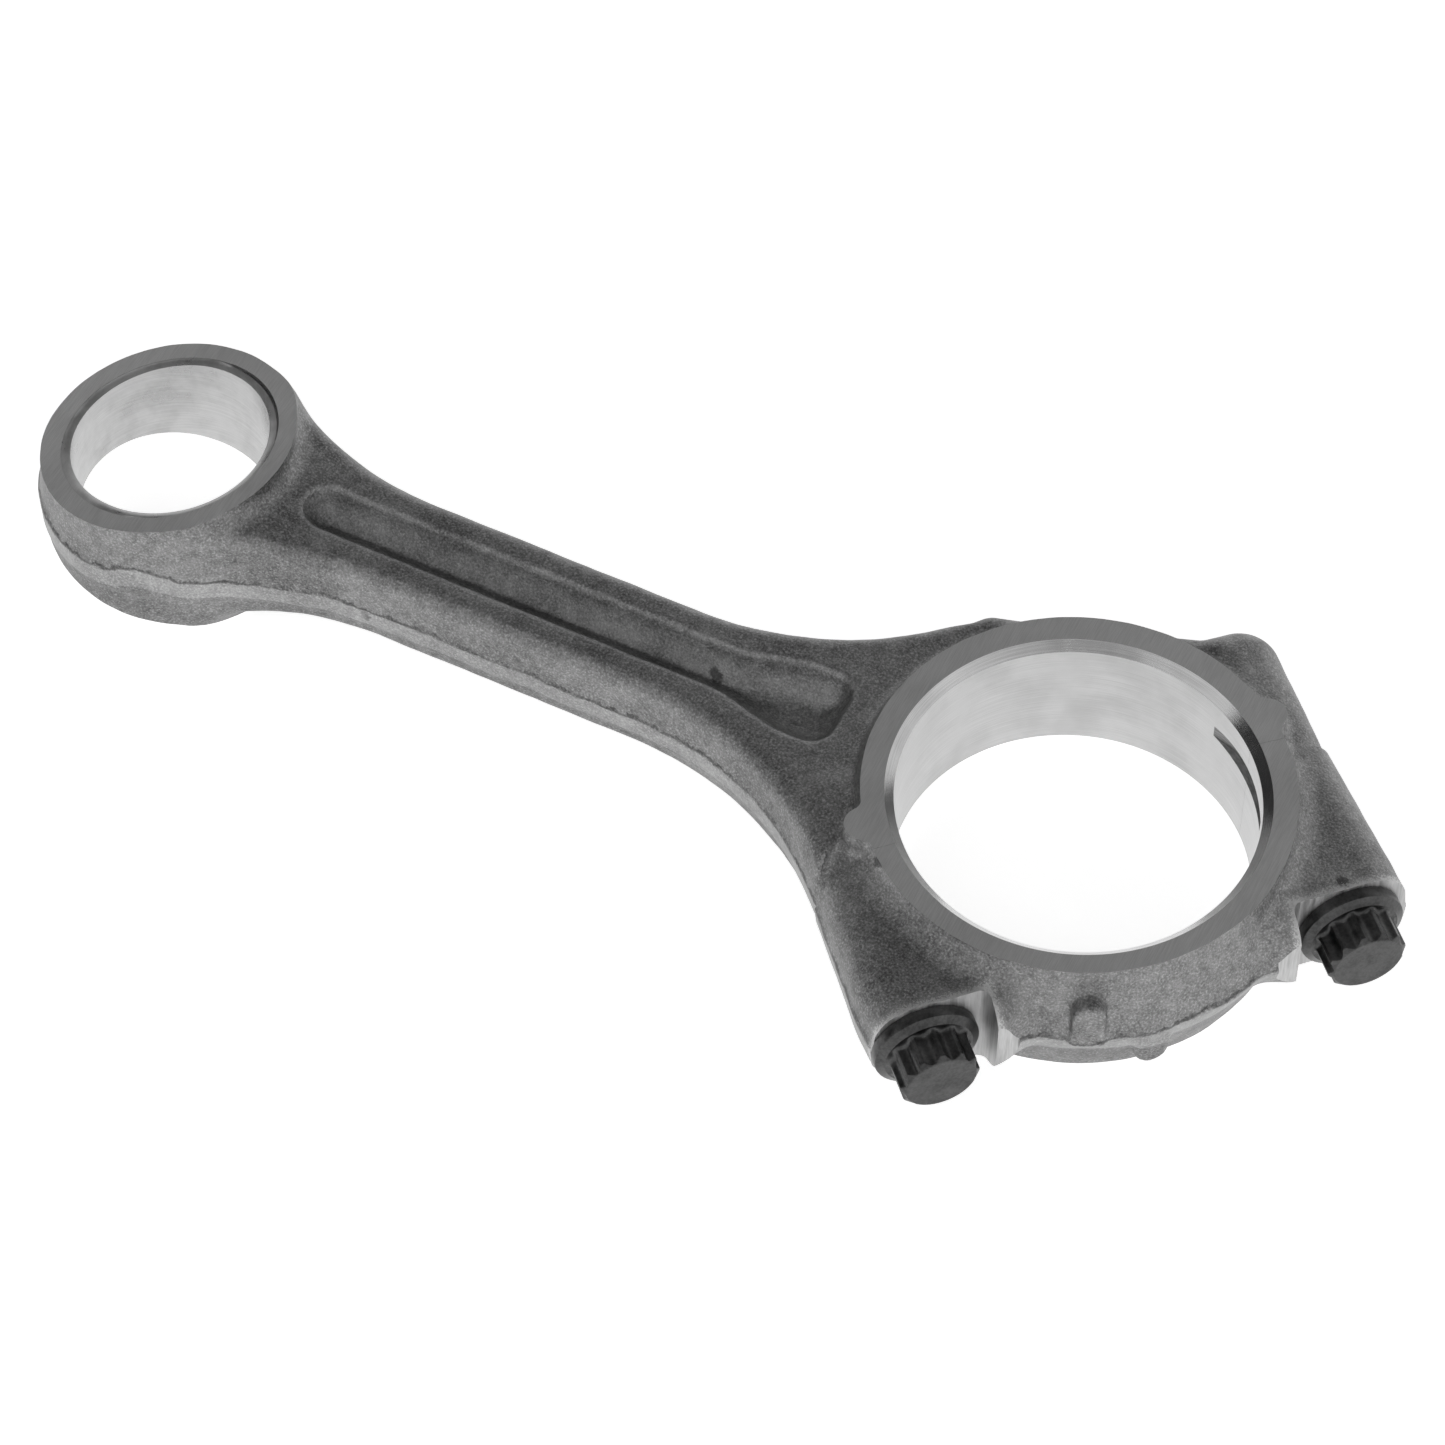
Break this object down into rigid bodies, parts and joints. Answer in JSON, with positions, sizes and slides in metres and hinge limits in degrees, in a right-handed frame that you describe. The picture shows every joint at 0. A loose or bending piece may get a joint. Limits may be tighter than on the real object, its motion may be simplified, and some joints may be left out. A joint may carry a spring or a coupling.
{
  "type": "connecting rod",
  "caption": "Forged connecting rod with an obliquely split big end, a bushed wedge-shaped small end and a cap held by twelve-point flange bolts.",
  "frame": {"origin": "centre of the big-end bore at mid width", "axes": "+Z along the big-end bore, with the rod lying flat; the small end lies towards -X, so +X runs from the small end to the big end"},
  "size_m": [0.3049, 0.1294, 0.0358],
  "materials": {
    "forged_steel": "shot-blasted forging skin with machined end faces and a honed bore",
    "forged_steel_cap": "shot-blasted forging skin with machined end faces and a honed bore",
    "bush_metal": "fine-bored satin",
    "black_steel": "black oxide, oiled"
  },
  "bodies": {
    "rod": {"rod_body": "forged_steel", "small_end_bush": "bush_metal"},
    "cap": {"big_end_cap": "forged_steel_cap"},
    "bolt_toe": {"cap_bolt_toe": "black_steel"},
    "bolt_heel": {"cap_bolt_heel": "black_steel"}
  },
  "joints": [
    {"name": "cap_lift", "type": "slide", "parent": "rod", "child": "cap", "axis": [0.7071, -0.7071, 0], "range_m": [0, 0.06]},
    {"name": "toe_bolt_travel", "type": "slide", "parent": "cap", "child": "bolt_toe", "axis": [0.7071, -0.7071, 0], "range_m": [0, 0.068]},
    {"name": "heel_bolt_travel", "type": "slide", "parent": "cap", "child": "bolt_heel", "axis": [0.7071, -0.7071, 0], "range_m": [0, 0.068]}
  ]
}
